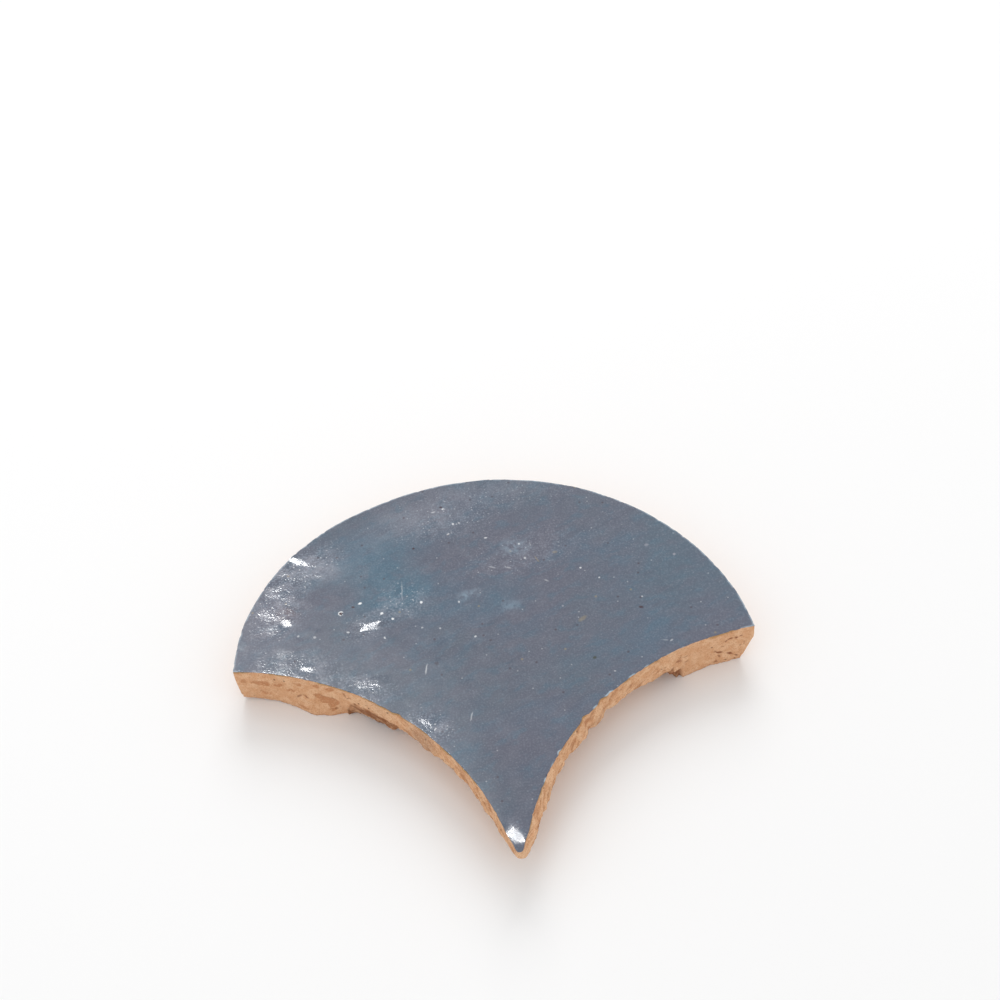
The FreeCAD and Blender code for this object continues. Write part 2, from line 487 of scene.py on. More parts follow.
def hollowed(ledge, top, lean, down, inset):
    """How far a hollow that starts at a ledge takes the edge in, at a distance down."""
    change = ledge + lean * (down - top) - inset
    if change < 0:
        change *= 1 - ease(hollow_foot, face_height / MM, down)
    return change


# The mesh of the tile

class Arris:
    """The upper edge of the tile, point by point, and what is known of the edge below each point."""

    def __init__(self, points, solid, surface):
        self.points = points
        self.tree = tree_of(points)
        self.outward = outward_at(points)
        self.ways = ways_along(points)
        self.feet = feet_of(points, solid)
        self.paths = [path_down(*ends, surface) for ends in zip(points, self.feet, self.outward)]
        self.lengths = [depths[-1] / MM for _, depths in self.paths]
        self.cuts = [strayed_cut(point / MM) for point in points]
        self.dips = [glaze_dip(point / MM, 0) for point in points]
        self.from_corner = [min(math.dist(point.xy / MM, corner) for corner in corners) for point in points]
        self.undercuts = [ease(*undercut_range, (point - foot).dot(outward) / MM)
                          for point, foot, outward in zip(points, self.feet, self.outward)]
        neighbours = zip(self.feet[-1:] + self.feet[:-1], self.feet[1:] + self.feet[:1])
        self.room = [min(1, (after - before).length / (2 * edge_pitch)) for before, after in neighbours]

    def way_at(self, x, y):
        """The way along the outline to its point nearest to a place on the face."""
        return self.ways[self.tree.find(Vector((x * MM, y * MM, face_height)))[1]]


Layers = collections.namedtuple("Layers", noted + ("station",))


def added_layers(mesh):
    """Adds what the points of the mesh note, and which point of the arris each belongs to."""
    for name in noted:
        mesh.verts.layers.float.new(name)
    mesh.verts.layers.int.new("station")
    floats = mesh.verts.layers.float
    return Layers(*(floats[name] for name in noted), mesh.verts.layers.int["station"])


def divide_face(mesh, polygon):
    """Divides the face into narrow rings along its rim and a grid inside them, whose points it returns."""
    for ring in rim_rings:
        bmesh.ops.inset_region(mesh, faces=[polygon], thickness=ring, use_boundary=True, use_even_offset=True)
    rings = set(mesh.verts)
    cut_in_squares(mesh, polygon, face_pitch)
    return [vert for vert in mesh.verts if vert not in rings]


def find_stations(verts, arris, layers):
    """Notes the nearest point of the arris at each point of the face."""
    for vert in verts:
        _, station, distance = arris.tree.find(vert.co)
        vert[layers.station] = station
        vert[layers.from_arris] = -distance / MM
        vert[layers.way] = arris.ways[station]


def add_edge(mesh, row_edges, arris, layers):
    """Adds the edge, row after row from the arris down. Returns its points and the outline of its foot."""
    verts = []
    for row in range(1, wall_rows + 1):
        made = bmesh.ops.extrude_edge_only(mesh, edges=row_edges)["geom"]
        row_edges = [item for item in made if isinstance(item, bmesh.types.BMEdge) and item.is_boundary]
        for vert in made:
            if isinstance(vert, bmesh.types.BMVert):
                places, depths = arris.paths[vert[layers.station]]
                vert.co = places[row]
                vert[layers.from_arris] = depths[row] / MM
                vert[layers.way] = arris.ways[vert[layers.station]]
                verts.append(vert)
    return verts, row_edges


def add_back(mesh, foot_edges, surface, layers):
    """Closes the mesh with the back, and returns the points inside its outline."""
    before = set(mesh.verts)
    polygon = bmesh.ops.contextual_create(mesh, geom=foot_edges)["faces"][0]
    cut_in_squares(mesh, polygon, back_pitch)
    verts = [vert for vert in mesh.verts if vert not in before]
    for vert in verts:
        below = Vector((vert.co.x, vert.co.y, -face_height))
        hit = surface.ray_cast(below, Vector((0, 0, 1)))[0]
        vert.co.z = hit.z if hit else 0
        vert[layers.from_arris] = back_depth
    return verts


def even_out(mesh, verts, times):
    for _ in range(times):
        bmesh.ops.smooth_vert(mesh, verts=verts, factor=0.5, use_axis_x=True, use_axis_y=True)


def shape_face(verts, arris, layers):
    """Lays the glaze on the face, and lets it follow the strayed cut of the arris."""
    for vert in verts:
        place = vert.co / MM
        rim = -vert[layers.from_arris]
        station = vert[layers.station]
        pull = arris.cuts[station] * max(0, 1 - rim / nick_reach)
        vert.co -= arris.outward[station] * (pull * MM)
        vert.co.z -= glaze_dip(place, rim) * MM


def shape_edge(verts, arris, layers):
    """Gives the edge its relief. Returns how that moved the foot below each point of the arris."""
    zones = hollow_zones(arris)
    stub_end = zones[0][0]
    cove_start, cove_end = [arris.way_at(*corner) for corner in corners]
    ledges = [0.0] * len(arris.points)
    moves = [Vector()] * len(arris.points)
    for vert in verts:
        place = vert.co / MM
        way = vert[layers.way]
        depth = vert[layers.from_arris]
        station = vert[layers.station]
        outward = arris.outward[station]
        length = arris.lengths[station]
        undercut = arris.undercuts[station]
        from_corner = arris.from_corner[station]
        stroke = furrowed(way, depth)
        looks_furrowed = max(0, stroke - furrow_start) / furrow_span
        vert[layers.furrow] = looks_furrowed * undercut * ease(*stub_reach, from_corner)
        if cove_start < way < cove_end:
            vert[layers.flake] = stub_flaked(place, way, depth)
        else:
            vert[layers.flake] = crown_flaked(place) * (1 - deep_flake_loss * undercut)
            vert[layers.furrow] *= crown_furrow
        worn = worn_in(place, depth, length, undercut, stroke, vert[layers.flake])
        worn += stub_rounded(way, stub_end, depth, length)
        worn *= corner_relief + (1 - corner_relief) * ease(0, corner_calm, from_corner)
        inside, top, lean = hollow_at(zones, way)
        down = (face_height - vert.co.z) / MM
        inset = (arris.points[station] - vert.co).dot(outward) / MM
        if down <= top:
            ledges[station] = inset
        elif inside:
            vert[layers.hollow] = inside * ease(top, top + hollow_rim, down)
            worn += inside * hollowed(ledges[station], top, lean, down, inset)
            worn += vert[layers.hollow] * hollow_rough * wave(place, hollow_rough_size)
        room = 1 - (1 - arris.room[station]) * depth / length
        moves[station] = outward * (-(arris.cuts[station] + worn) * room * MM)
        vert.co += moves[station]
        vert.co.z -= arris.dips[station] * MM * max(0, 1 - 2 * depth / length)
    return moves


def shape_back(verts, arris, foot_moves):
    """Lets the back follow its strayed foot."""
    feet_tree = tree_of(arris.feet)
    for vert in verts:
        _, station, distance = feet_tree.find(vert.co)
        vert.co += foot_moves[station] * max(0, 1 - distance / (foot_reach * MM))


def pinch_tip(mesh, arris):
    tip = min(arris.points, key=lambda point: point.y)
    for vert in mesh.verts:
        pinch = tip_pinch * (1 - ease(0, tip_pinch_length, (vert.co.y - tip.y) / MM))
        vert.co.x += pinch * (tip.x - vert.co.x)


def keep_in_box(mesh):
    """Keeps every point inside the box of the solid."""
    for vert in mesh.verts:
        for axis in range(3):
            vert.co[axis] = min(max(vert.co[axis], tile_low[axis]), tile_high[axis])


def tile_mesh(solid):
    """The tile as one closed mesh: the glazed face, the chiselled edge and the flat back."""
    whole = merged_copy(solid)
    surface = BVHTree.FromBMesh(whole)
    whole.free()
    mesh = level_side(solid, 1, edge_pitch)
    layers = added_layers(mesh)
    mesh.faces.ensure_lookup_table()
    polygon = mesh.faces[0]
    arris = Arris([vert.co.copy() for vert in polygon.verts], solid, surface)
    grid_verts = divide_face(mesh, polygon)
    face_verts = mesh.verts[:]
    find_stations(face_verts, arris, layers)
    rim_edges = [edge for edge in mesh.edges if edge.is_boundary]
    edge_verts, foot_edges = add_edge(mesh, rim_edges, arris, layers)
    back_verts = add_back(mesh, foot_edges, surface, layers)
    shape_face(face_verts, arris, layers)
    even_out(mesh, [vert for vert in grid_verts if -vert[layers.from_arris] < nick_reach], face_smoothing)
    foot_moves = shape_edge(edge_verts, arris, layers)
    shape_back(back_verts, arris, foot_moves)
    even_out(mesh, back_verts, back_smoothing)
    pinch_tip(mesh, arris)
    keep_in_box(mesh)
    bmesh.ops.triangulate(mesh, faces=[face for face in mesh.faces if len(face.verts) > 4])
    bmesh.ops.recalc_face_normals(mesh, faces=mesh.faces[:])
    return mesh


# Shader expressions

class Shade:
    """An output of a shader node. Arithmetic on it adds Math nodes to its tree."""

    def __init__(self, tree, socket):
        self.tree = tree
        self.socket = socket

    def feed(self, target, value):
        if isinstance(value, Shade):
            self.tree.links.new(value.socket, target)
        else:
            target.default_value = value

    def node(self, kind, settings=None, sockets=None, output=None):
        """Adds a node: first its settings, then the values or links of its sockets, by name or place."""
        made = self.tree.nodes.new("ShaderNode" + kind)
        for name, value in (settings or {}).items():
            setattr(made, name, value)
        for name, value in (sockets or {}).items():
            if isinstance(name, int):
                target = made.inputs[name]
            else:
                target = next(item for item in made.inputs if item.enabled and item.name == name)
            self.feed(target, value)
        shown = [item for item in made.outputs if item.enabled and output in (None, item.name)]
        return Shade(self.tree, shown[0])

    def sibling(self, output):
        """Another output of the same node."""
        return Shade(self.tree, self.socket.node.outputs[output])

    def maths(self, operation, *values):
        return self.node("Math", {"operation": operation}, dict(enumerate(values)))

    def __add__(self, other):
        return self.maths("ADD", self, other)

    def __radd__(self, other):
        return self.maths("ADD", other, self)

    def __sub__(self, other):
        return self.maths("SUBTRACT", self, other)

    def __rsub__(self, other):
        return self.maths("SUBTRACT", other, self)

    def __mul__(self, other):
        return self.maths("MULTIPLY", self, other)

    def __rmul__(self, other):
        return self.maths("MULTIPLY", other, self)

    def rising(self, low, high):
        """0 below the low value and 1 above the high one, with a soft step between them."""
        return self.node("MapRange", {"interpolation_type": "SMOOTHSTEP"},
                         {"Value": self, "From Min": low, "From Max": high})

    def falling(self, low, high):
        return 1 - self.rising(low, high)

    def at_most(self, other):
        return self.maths("MINIMUM", self, other)


def colour(red, green, blue):
    """A colour as it shows on a screen, from 0 to 255, for a shader."""
    def linear(value):
        value = value / 255
        return value / 12.92 if value <= 0.04045 else ((value + 0.055) / 1.055) ** 2.4
    return (linear(red), linear(green), linear(blue), 1)


def mixed(factor, first, second, blend="MIX"):
    return factor.node("Mix", {"data_type": "RGBA", "blend_type": blend},
                       {"Factor": factor, "A": first, "B": second})


def grain(place, size, detail=2, roughness=0.5):
    """Random grain from 0 to 1, about that many millimetres across."""
    return place.node("TexNoise", None,
                      {"Vector": place, "Scale": 1 / (size * MM), "Detail": detail, "Roughness": roughness},
                      "Fac")


def stretched(place, turn, length):
    """The place squeezed so that grain on it comes out that many times longer along a direction."""
    return place.node("Mapping", {"vector_type": "TEXTURE"},
                      {"Vector": place, "Rotation": (0, 0, math.radians(turn)), "Scale": (length, 1, 1)})


def wandering(place, size, reach):
    """The place, moved about at random by up to that many millimetres."""
    drift = place.node("TexNoise", None, {"Vector": place, "Scale": 1 / (size * MM), "Detail": 3}, "Color")
    drift = drift.node("VectorMath", {"operation": "SUBTRACT"}, {0: drift, 1: (0.5, 0.5, 0.5)})
    return drift.node("VectorMath", {"operation": "MULTIPLY_ADD"},
                      {0: drift, 1: (2 * reach * MM,) * 3, 2: place})


def near_to(place, centre, reach, turn=0):
    """1 in the middle of an oval on the face, and evenly less towards its rim, where it comes to 0."""
    local = place.node("Mapping", {"vector_type": "TEXTURE"},
                       {"Vector": place, "Location": (centre[0] * MM, centre[1] * MM, face_height),
                        "Rotation": (0, 0, math.radians(turn)),
                        "Scale": (reach[0] * MM, reach[1] * MM, 1)})
    return local.node("TexGradient", {"gradient_type": "SPHERICAL"}, {"Vector": local}, "Fac")


def specks(place, spacing, share, reach, dimensions="2D"):
    """1 in round specks about that far apart, of which only a share is kept."""
    away = place.node("TexVoronoi", {"voronoi_dimensions": dimensions},
                      {"Vector": place, "Scale": 1 / (spacing * MM)}, "Distance")
    chance = away.node("SeparateColor", None, {"Color": away.sibling("Color")}, "Red")
    return away.falling(0.4 * reach / spacing, reach / spacing) * chance.rising(1 - share, 1.01 - share)


# Glaze

slate = colour(91, 101, 114)
violet_slate = colour(97, 99, 113)
blue_slate = colour(83, 101, 120)
teal = colour(71, 108, 128)
painted_sheen = colour(159, 158, 168)
speck_and_sparkle_blue = colour(150, 158, 172)
smear_blue = colour(140, 160, 176)
dark_slate = colour(72, 78, 94)
speck_and_glint_white = colour(236, 238, 240)
chip_and_glint_blue = colour(176, 194, 206)
maroon = colour(62, 38, 44)
moss = colour(62, 66, 52)
rust = colour(128, 92, 80)
straw = colour(176, 156, 108)

glaze_rough = 0.1
glaze_rough_spread = 0.12      # how much rougher it is in places
glaze_end = (0.28, 0.42)       # how far below the arris the glaze gives way to the clay
glaze_end_fray = 0.5
glaze_end_size = 1.3
fine_peel = (0.42, 0.007, 0.036)   # the size and height of its grain, and what is added where it is lively
coarse_peel = (0.9, 0.008, 0.042)
crater_depth = 0.08
# the pale line round the crown is partly a painted highlight on its ground edge
crown_line = (0.42, 0.43)      # how near to the centre the pale line round the crown gives out

# Clouds in the glaze: their middle, reach and turn, their colour and strength. The pale ones are painted
# sheen.
clouds = (
    ((-25, 38), (24, 15), 25, teal, 0.7),
    ((-19, 28), (16, 11), 15, teal, 0.85),
    ((45, 26), (34, 28), 0, teal, 0.26),
    ((8, 50), (34, 12), -5, teal, 0.08),
    ((0, 23), (20, 8), 5, teal, 0.4),
    ((-9, -19), (10, 7), 0, teal, 0.4),
    ((28, 6), (24, 9), 15, teal, 0.35),
    ((-14, 50), (20, 9), 15, painted_sheen, 0.3),
    ((-30, 40), (16, 9), 30, painted_sheen, 0.12),
    ((-38, 36.5), (9, 4.5), -25, painted_sheen, 0.45),
    ((-50, 27), (5, 9), -25, painted_sheen, 0.25),
    ((6, 56), (26, 6), 0, painted_sheen, 0.16),
    ((0, -24), (18, 16), 0, dark_slate, 0.32),
    ((-36, 28), (13, 7), 15, violet_slate, 1.0),
    ((-45, 25), (4, 2.5), 20, rust, 0.3),
    ((16, 9), (26, 11), 10, violet_slate, 0.7),
    ((-19, 9), (16, 8), 0, violet_slate, 0.7),
    ((8, -14), (16, 12), 0, violet_slate, 0.5),
    ((-11, 36), (10, 6), 0, violet_slate, 0.6),
)

# Single marks in the glaze, by their colour: their middle, reach, turn and strength. The white ones are
# mostly painted glints, with a few pale specks and scratches.
marks = (
    # painted glints, and a few pale specks
    (speck_and_glint_white, (
        ((-28.0, 26.1), (0.62, 0.36), 10, 1.0),
        ((-45.8, 24.4), (0.5, 0.35), 0, 0.7),
        ((-23.1, 22.6), (0.55, 0.42), 20, 0.9),
        ((-20.7, 20.7), (0.42, 0.42), 0, 0.9),
        ((-31.0, 18.3), (0.5, 0.32), 0, 0.6),
        ((-22.8, 15.6), (0.5, 0.34), -60, 0.6),
        ((-38.7, 17.9), (0.45, 0.4), 0, 0.4),
        ((-42.4, 18.7), (0.45, 0.4), 0, 0.4),
        ((-13.9, 24.5), (0.45, 0.45), 0, 0.9),
        ((-14.2, 17.3), (0.34, 0.34), 0, 0.4),
        ((-10.1, 16.5), (0.3, 0.3), 0, 0.4),
        ((-5.3, 23.4), (0.36, 0.36), 0, 0.55),
        ((-2.3, 13.1), (0.4, 0.34), 0, 0.55),
        ((-6.9, 51.6), (0.42, 0.28), 15, 0.75),
        ((-9.2, 50.9), (0.7, 0.3), 15, 0.45),
        ((-4.8, 46.6), (0.36, 0.36), 0, 0.7),
        ((-6.2, 43.7), (0.5, 0.3), 20, 0.5),
        ((-3.4, 46.7), (0.3, 0.3), 0, 0.45),
        ((2.5, 41.3), (0.45, 0.3), -10, 0.6),
        ((10.1, 38.4), (0.3, 0.3), 0, 0.6),
        ((11.1, 34.0), (0.36, 0.5), 0, 0.5),
        ((23.6, 29.2), (0.33, 0.33), 0, 0.65),
        ((27.5, 25.8), (0.28, 0.28), 0, 0.5),
        ((36.5, 19.0), (0.3, 0.28), 0, 0.45),
        ((27.6, -0.6), (0.28, 0.28), 0, 0.4),
    )),
    # small spots of painted sheen
    (painted_sheen, (
        ((18.2, 18.9), (0.4, 0.36), 0, 0.6),
        ((45.6, 30.2), (0.5, 0.45), 0, 0.7),
        ((39.6, 33.8), (0.7, 0.5), 20, 0.5),
    )),
    (maroon, (
        ((-7.4, 52.2), (0.45, 0.4), 0, 0.8),
        ((-29.6, 25.3), (0.5, 0.42), 0, 0.9),
        ((-14.7, 40.5), (0.42, 0.4), 0, 0.9),
        ((35.8, 16.1), (0.8, 0.42), -12, 0.85),
        ((-11.6, 6.9), (0.7, 0.7), 0, 0.4),
        ((-0.5, 16.4), (0.4, 0.4), 0, 0.5),
        ((1.0, 11.6), (0.4, 0.35), 0, 0.5),
    )),
    (moss, (
        ((23.6, 3.6), (0.6, 0.5), 0, 0.8),
        ((8.2, -29.0), (0.6, 1.0), -20, 0.5),
    )),
    (straw, (
        ((22.3, 14.7), (1.6, 0.7), 35, 0.25),
        ((18.2, 34.7), (0.8, 0.5), 0, 0.25),
        ((13.8, 33.2), (0.22, 1.4), 25, 0.3),
    )),
    # fine scratches, drawn as pale lines that are partly painted glint
    (speck_and_glint_white, (
        ((-18.1, 28.6), (0.2, 3.2), -2, 0.2),
        ((-14.0, 5.7), (0.26, 1.9), -12, 0.4),
        ((-5.0, -8.2), (0.24, 1.6), -14, 0.3),
        ((3.3, 32.3), (1.2, 0.3), -25, 0.22),
        ((7.0, 31.7), (1.0, 0.28), -25, 0.25),
        ((15.4, 26.7), (0.8, 0.28), -35, 0.25),
        ((39.9, 6.2), (0.9, 0.28), -10, 0.16),
        ((41.3, 6.0), (0.6, 0.28), 25, 0.3),
    )),
)

# Soft smears in the glaze: their middle, reach, turn and strength
smears = (
    ((-2.9, 25.1), (4.2, 2.2), 12, 0.7),
    ((6.2, 20.7), (5.0, 2.4), 8, 0.45),
    ((9.0, 37.5), (6.0, 4.0), 0, 0.5),
)

# Where the arris has lost a little glaze and shows pale blue: the middle, reach and turn of each place
pale_chips = (
    ((43.7, 2.9), (1.0, 1.2), 20),
    ((40.4, 1.5), (1.8, 1.2), 25),
    ((35.1, -1.0), (1.1, 1.3), 30),
    ((31.4, -2.9), (1.4, 1.3), 30),
    ((25.6, -6.5), (1.6, 1.3), 40),
    ((22.4, -9.8), (1.0, 1.2), 50),
    ((13.3, -20.0), (1.2, 1.1), -20),
    ((11.7, -23.2), (1.1, 1.3), -25),
    ((9.7, -26.5), (1.1, 1.1), -22),
)

# Burst bubbles in the glaze: their middle and radius. Each shows a dark middle inside a painted highlight on
# its lip.
craters = (
    ((-32.5, 23.8), 0.75),
)


def glaze_liveliness(place):
    total = 0
    for centre, reach, turn, strength in lively_patches:
        total = near_to(place, centre, reach, turn).rising(0, 1) * strength + total
    return total.at_most(1)


def glaze_colour(place, lively):
    drifted = wandering(place, 9, 3)
    shade = mixed(grain(place, 30, 3).rising(0.35, 0.65), slate, violet_slate)
    shade = mixed(grain(stretched(drifted, 27, 3), 7, 3).rising(0.45, 0.7) * 0.5, shade, blue_slate)
    for centre, reach, turn, tone, strength in clouds:
        shade = mixed(near_to(drifted, centre, reach, turn).rising(0, 1) * strength, shade, tone)
    mottle = grain(stretched(drifted, 20, 2), 2.4, 4)
    shade = mixed(mottle.rising(0.5, 0.7) * 0.3, shade, teal)
    shade = mixed(mottle.falling(0.3, 0.5) * 0.4, shade, violet_slate)
    shade = mixed(grain(stretched(place, 27, 4), 1.6, 3).rising(0.5, 0.8) * 0.3, shade, dark_slate)
    # painted sheen, a pale haze where the glaze is lively
    shade = mixed(grain(place, 3, 3).rising(0.4, 0.72) * lively * 0.6, shade, painted_sheen)
    speckle = grain(place, 0.42, 1)
    # pale speckle in the glaze, and painted sparkle where it is lively
    shade = mixed(speckle.rising(0.46, 0.78) * (0.16 + lively * 0.8), shade, speck_and_sparkle_blue)
    shade = mixed(speckle.falling(0.2, 0.5) * 0.3, shade, dark_slate)
    # painted glints: sparse white specks all over the glaze, many more where it is lively
    shade = mixed(specks(place, 3.1, 0.12, 0.24) * 0.24, shade, speck_and_glint_white)
    shade = mixed(specks(place, 1.3, 0.25, 0.22) * (0.05 + lively * 0.75), shade, speck_and_glint_white)
    shade = mixed(specks(place, 5.3, 0.2, 0.4) * 0.5, shade, maroon)
    shade = mixed(specks(place, 8.7, 0.2, 0.4) * 0.3, shade, straw)
    cloudy = grain(place, 1.5, 3).rising(0.3, 0.65)
    for centre, reach, turn, strength in smears:
        shade = mixed(near_to(place, centre, reach, turn).rising(0, 1) * cloudy * strength, shade, smear_blue)
    ragged = wandering(place, 0.8, 0.22)
    for tone, places in marks:
        for centre, reach, turn, strength in places:
            shade = mixed(near_to(ragged, centre, reach, turn).rising(0, 0.6) * strength, shade, tone)
    for centre, radius in craters:
        near = near_to(ragged, centre, (radius, radius))
        # a painted highlight on the crater's lip
        shade = mixed(near.rising(0, 0.4) * grain(place, 0.7, 1).rising(0.35, 0.55), shade, speck_and_glint_white)
        shade = mixed(near.rising(0.35, 0.65), shade, maroon)
    return shade


def glaze_peel(place, lively, size, height, more):
    return grain(place, size, 2) * (height + lively * more)


def glaze_relief(place, lively):
    peel = glaze_peel(place, lively, *fine_peel) + glaze_peel(place, lively, *coarse_peel)
    for centre, radius in craters:
        peel = peel - near_to(place, centre, (radius, radius)).rising(0.2, 0.7) * crater_depth
    return peel


def chipped_and_lit_arris(place, depth, shade):
    """Pale places along the arris: small chips, and a thin line round the crown that is partly painted
    highlight.
    """
    chipped = depth.falling(0.1, 0.2) * (depth + grain(place, 0.9, 2) * 0.6).rising(-0.15, 0.2) * 0.85
    for centre, reach, turn in pale_chips:
        shade = mixed(near_to(place, centre, reach, turn).rising(0, 0.5) * chipped, shade, chip_and_glint_blue)
    # a thin line round the crown, partly the pale ground edge and partly painted highlight
    along_crown = near_to(place, (0, 0), (100, 100)).falling(*crown_line)
    line = depth.rising(-0.45, -0.1) * along_crown * grain(place, 2.4, 3).rising(0.35, 0.6)
    return mixed(line * 0.55, shade, chip_and_glint_blue)


# Clay

tan_clay = colour(216, 164, 122)
brown_clay = colour(190, 130, 87)
pale_clay = colour(234, 192, 153)
rust_clay = colour(178, 121, 82)
painted_shade_clay = colour(140, 86, 48)
pore_brown = colour(118, 74, 46)
crack_and_shadow_brown = colour(140, 80, 44)
singed_clay = colour(168, 128, 74)
dun_clay = colour(160, 128, 108)

clay_rough = 0.85
sand_relief = 0.14
pore_relief = 0.2
streak_relief = 0.3
streak_width = 1.0
streak_stretch = 4.5           # how many times longer than wide the chisel's streaks are
streak_shift = 0.05            # keeps the two sides of the tip from being alike
carved_fade = (4.5, 7.5)       # how deep the streaks reach
carved_foot = 0.25             # the share of them below that

# Paler and darker clay along the edge: the way along it and the depth of the middle of each patch, its
# reach and turn, its colour and strength
clay_patches = (
    ((116.5, 2.2), (8, 2.8), 0, pale_clay, 0.6),
    ((130.5, 3.0), (6, 4.5), 0, dun_clay, 0.45),
    ((207, 5.0), (6, 3.0), 0, dun_clay, 0.25),
)

# Pits and cracks in the stubs: the way along the edge and the depth of their middle, their reach and
# turn, and their strength. The two at ways 103.4 and 106.0 are painted shadow along the upper rim of a flake.
clay_marks = (
    ((242.6, 3.5), (0.6, 0.45), 0, 0.9),
    ((243.7, 3.2), (0.9, 0.55), 0, 1.0),
    ((245.2, 3.1), (0.8, 0.55), 0, 1.0),
    ((246.4, 2.9), (0.6, 0.45), 0, 0.9),
    ((240.6, 7.5), (1.7, 0.6), 30, 1.0),
    ((243.4, 9.1), (1.5, 0.55), 28, 1.0),
    ((245.3, 10.2), (1.1, 0.5), 30, 0.9),
    ((240.6, 8.8), (0.9, 0.5), 60, 0.8),
    ((239.8, 10.8), (0.7, 0.7), 0, 0.7),
    ((241.7, 5.6), (0.5, 0.4), 0, 0.4),
    ((248.2, 6.5), (0.4, 0.6), 0, 0.5),
    ((231.4, 5.4), (1.1, 0.4), 80, 0.7),
    ((232.5, 4.5), (0.9, 0.36), 0, 0.6),
    ((232.6, 6.5), (0.9, 0.36), -20, 0.6),
    ((225.8, 3.7), (0.6, 0.5), 0, 0.5),
    ((224.6, 3.9), (0.5, 0.4), 0, 0.4),
    # painted shadow along the upper rim of a flake
    ((103.4, 5.4), (1.6, 0.4), 15, 0.5),
    ((106.0, 5.5), (1.2, 0.4), 5, 0.5),
    ((97.6, 7.5), (1.3, 0.4), -45, 0.7),
    ((99.2, 7.1), (1.1, 0.4), 28, 0.7),
    ((108.9, 2.5), (1.7, 0.45), 65, 0.6),
    ((110.0, 3.4), (0.9, 0.4), -40, 0.6),
)


def clay_pores(place):
    """1 in the small pores of the clay, which lie in clusters."""
    return specks(place, 1.1, 0.25, 0.3, "3D") * grain(place, 5, 2).rising(0.5, 0.6)


def clay_streaks(way, depth):
    """Grain that follows the chisel's furrows."""
    from_tip = way.maths("ABSOLUTE", way - tip_way)
    strokes = way.node("CombineXYZ", None,
                       {"X": from_tip * MM, "Y": depth * MM, "Z": way * (streak_shift * MM)})
    turn = -math.degrees(math.atan(stroke_slant))
    return grain(stretched(strokes, turn, streak_stretch), streak_width, 3, 0.6)


def clay_colour(place, along, depth, flake, streaks, carved, hollow):
    shade = mixed(grain(place, 1.8, 3).rising(0.4, 0.65) * 0.65, tan_clay, pale_clay)
    shade = mixed(flake.rising(0.1, 0.7) * 0.9, shade, brown_clay)
    shade = mixed(streaks.rising(0.5, 0.62) * carved * 0.8, shade, rust_clay)
    shade = mixed(streaks.falling(0.38, 0.49) * carved * 0.7, shade, pale_clay)
    for centre, reach, turn, tone, strength in clay_patches:
        shade = mixed(near_to(along, centre, reach, turn).rising(0, 0.7) * strength, shade, tone)
    sand = grain(place, 0.32, 2)
    shade = mixed(sand.rising(0.5, 0.68) * 0.6, shade, brown_clay)
    shade = mixed(sand.falling(0.3, 0.46) * 0.5, shade, pale_clay)
    shade = mixed(clay_pores(place) * 0.7, shade, pore_brown)
    ragged = wandering(along, 1.2, 0.35)
    for centre, reach, turn, strength in clay_marks:
        shade = mixed(near_to(ragged, centre, reach, turn).rising(0, 0.8) * strength, shade, crack_and_shadow_brown)
    # painted shade in the hollows, patchy
    shade = mixed(hollow * (0.35 + grain(place, 2.2, 3).rising(0.35, 0.6) * 0.6), shade, painted_shade_clay)
    return mixed(depth.falling(0.3, 0.9) * grain(place, 5, 2).rising(0.46, 0.56) * 0.75, shade, singed_clay)


def clay_relief(place, streaks, carved):
    crumbs = grain(place, 0.4, 3) * sand_relief
    return crumbs - streaks * carved * streak_relief - clay_pores(place) * pore_relief


def fired_clay():
    """The finish of the tile: the glaze on its face, and the bare clay below the arris."""
    material = bpy.data.materials.new("fired_clay")
    material.use_nodes = True
    tree = material.node_tree
    surface = tree.nodes["Principled BSDF"]
    coordinates = tree.nodes.new("ShaderNodeTexCoord")
    place = Shade(tree, coordinates.outputs["Object"])
    depth, way, flake, furrow, hollow = [
        place.node("Attribute", {"attribute_name": name}, None, "Fac") for name in noted]
    along = way.node("CombineXYZ", None, {"X": way * MM, "Y": depth * MM})
    lively = glaze_liveliness(place)
    bare = (depth + grain(place, glaze_end_size, 2) * glaze_end_fray).rising(*glaze_end)
    glaze = chipped_and_lit_arris(place, depth, glaze_colour(place, lively))
    carved = furrow.rising(0, 1) * (carved_foot + depth.falling(*carved_fade) * (1 - carved_foot))
    streaks = clay_streaks(way, depth)
    clay = clay_colour(place, along, depth, flake, streaks, carved, hollow)
    place.feed(surface.inputs["Base Color"], mixed(bare, glaze, clay))
    gloss = glaze_rough + grain(place, 4, 3).rising(0.4, 0.75) * glaze_rough_spread
    place.feed(surface.inputs["Roughness"], gloss + bare * (clay_rough - gloss))
    peel = glaze_relief(place, lively)
    height = peel + bare * (clay_relief(place, streaks, carved) - peel)
    bump = place.node("Bump", None, {"Height": height, "Distance": MM, "Strength": 1.0})
    place.feed(surface.inputs["Normal"], bump)
    return material


# Stage

def photo_camera():
    lens = bpy.data.cameras.new("camera")
    lens.sensor_width = sensor_width
    lens.lens = camera_focal / picture_width * sensor_width
    camera = bpy.data.objects.new("camera", lens)
    level = math.cos(camera_elevation)
    back = Vector((math.sin(camera_turn) * level, -math.cos(camera_turn) * level, math.sin(camera_elevation)))
    right = Vector((math.cos(camera_turn), math.sin(camera_turn), 0))
    up = back.cross(right)
    rolled_right = right * math.cos(camera_roll) + up * math.sin(camera_roll)
    rolled_up = up * math.cos(camera_roll) - right * math.sin(camera_roll)
    turned = Matrix((rolled_right, rolled_up, back)).transposed().to_4x4()
    camera.matrix_world = Matrix.Translation(camera_target + back * camera_distance) @ turned
    bpy.context.scene.collection.objects.link(camera)
    bpy.context.scene.camera = camera


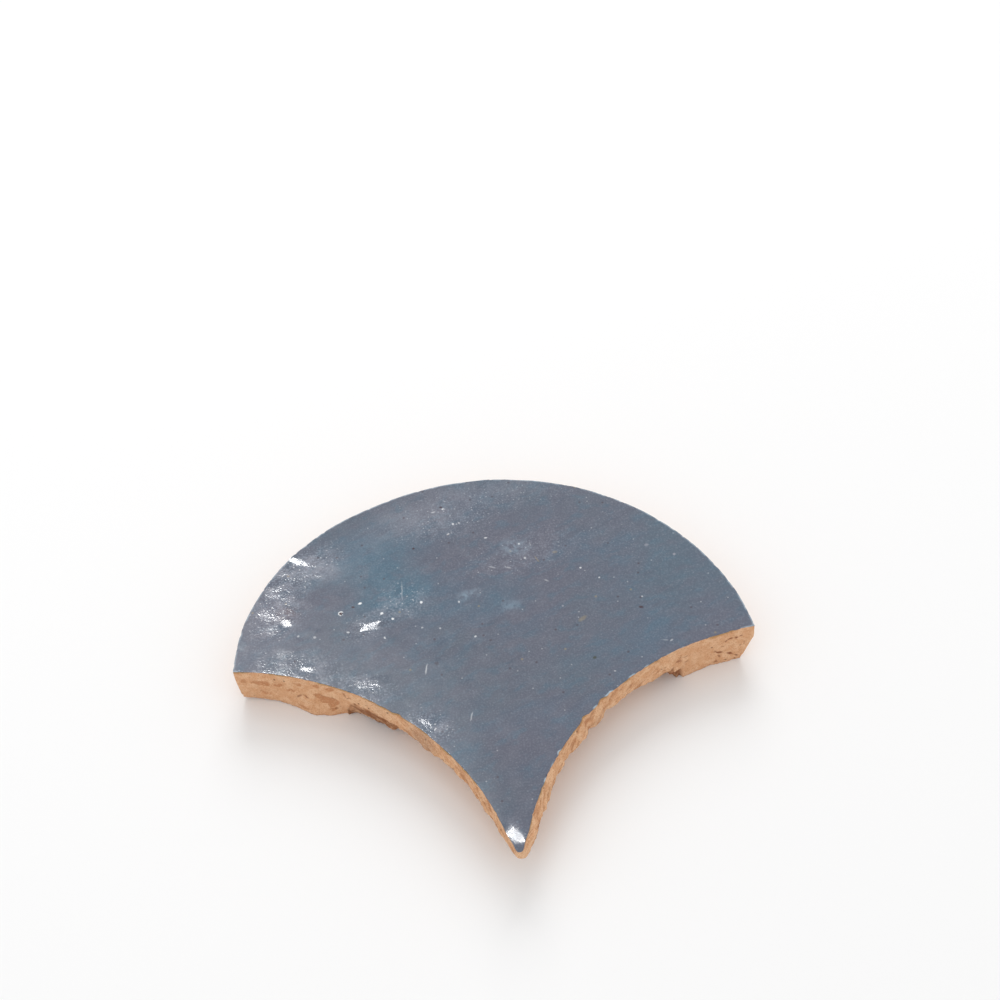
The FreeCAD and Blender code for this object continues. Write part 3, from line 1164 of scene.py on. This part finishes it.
def area_light(name, place, size, watts, in_glaze):
    """A round lamp that is mirrored in the glaze, or else lights the clay and the floor."""
    lamp = bpy.data.lights.new(name, "AREA")
    lamp.shape = "DISK"
    lamp.size = size
    lamp.energy = watts
    light = bpy.data.objects.new(name, lamp)
    light.location = place
    light.rotation_euler = (-Vector(place)).to_track_quat("-Z", "Y").to_euler()
    light.visible_camera = False
    light.visible_glossy = in_glaze
    light.visible_diffuse = not in_glaze
    bpy.context.scene.collection.objects.link(light)


def even_light():
    world = bpy.data.worlds.new("studio")
    world.use_nodes = True
    background = world.node_tree.nodes["Background"]
    background.inputs["Color"].default_value = (1, 1, 1, 1)
    background.inputs["Strength"].default_value = studio_light
    bpy.context.scene.world = world


def white_floor():
    mesh = bmesh.new()
    bmesh.ops.create_grid(mesh, x_segments=1, y_segments=1, size=floor_reach)
    bmesh.ops.translate(mesh, verts=mesh.verts[:], vec=(0, 0, -floor_drop))
    data = bpy.data.meshes.new("floor")
    mesh.to_mesh(data)
    mesh.free()
    floor = bpy.data.objects.new("floor", data)
    bpy.context.scene.collection.objects.link(floor)
    material = bpy.data.materials.new("white_floor")
    material.use_nodes = True
    surface = material.node_tree.nodes["Principled BSDF"]
    surface.inputs["Base Color"].default_value = (floor_white, floor_white, floor_white, 1)
    surface.inputs["Roughness"].default_value = floor_rough
    data.materials.append(material)


noise.seed_set(flake_seed)
shaped = tile_mesh(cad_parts[TILE].data)
tile_data = bpy.data.meshes.new("glazed_tile")
shaped.to_mesh(tile_data)
shaped.free()
tile_data.polygons.foreach_set("use_smooth", [True] * len(tile_data.polygons))
tile_data.set_sharp_from_angle(angle=sharp_angle)
tile_data.materials.append(fired_clay())
tile = bpy.data.objects.new("glazed_tile", tile_data)
bpy.context.scene.collection.objects.link(tile)
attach(tile, "root")
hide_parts(TILE)

white_floor()
even_light()
area_light("softbox", softbox_place, softbox_size, softbox_watts, in_glaze=True)
area_light("softbox_rim", softbox_place, softbox_rim_size, softbox_rim_watts, in_glaze=True)
area_light("backdrop", backdrop_place, backdrop_size, backdrop_watts, in_glaze=False)
photo_camera()
bpy.context.scene.view_settings.view_transform = "Standard"
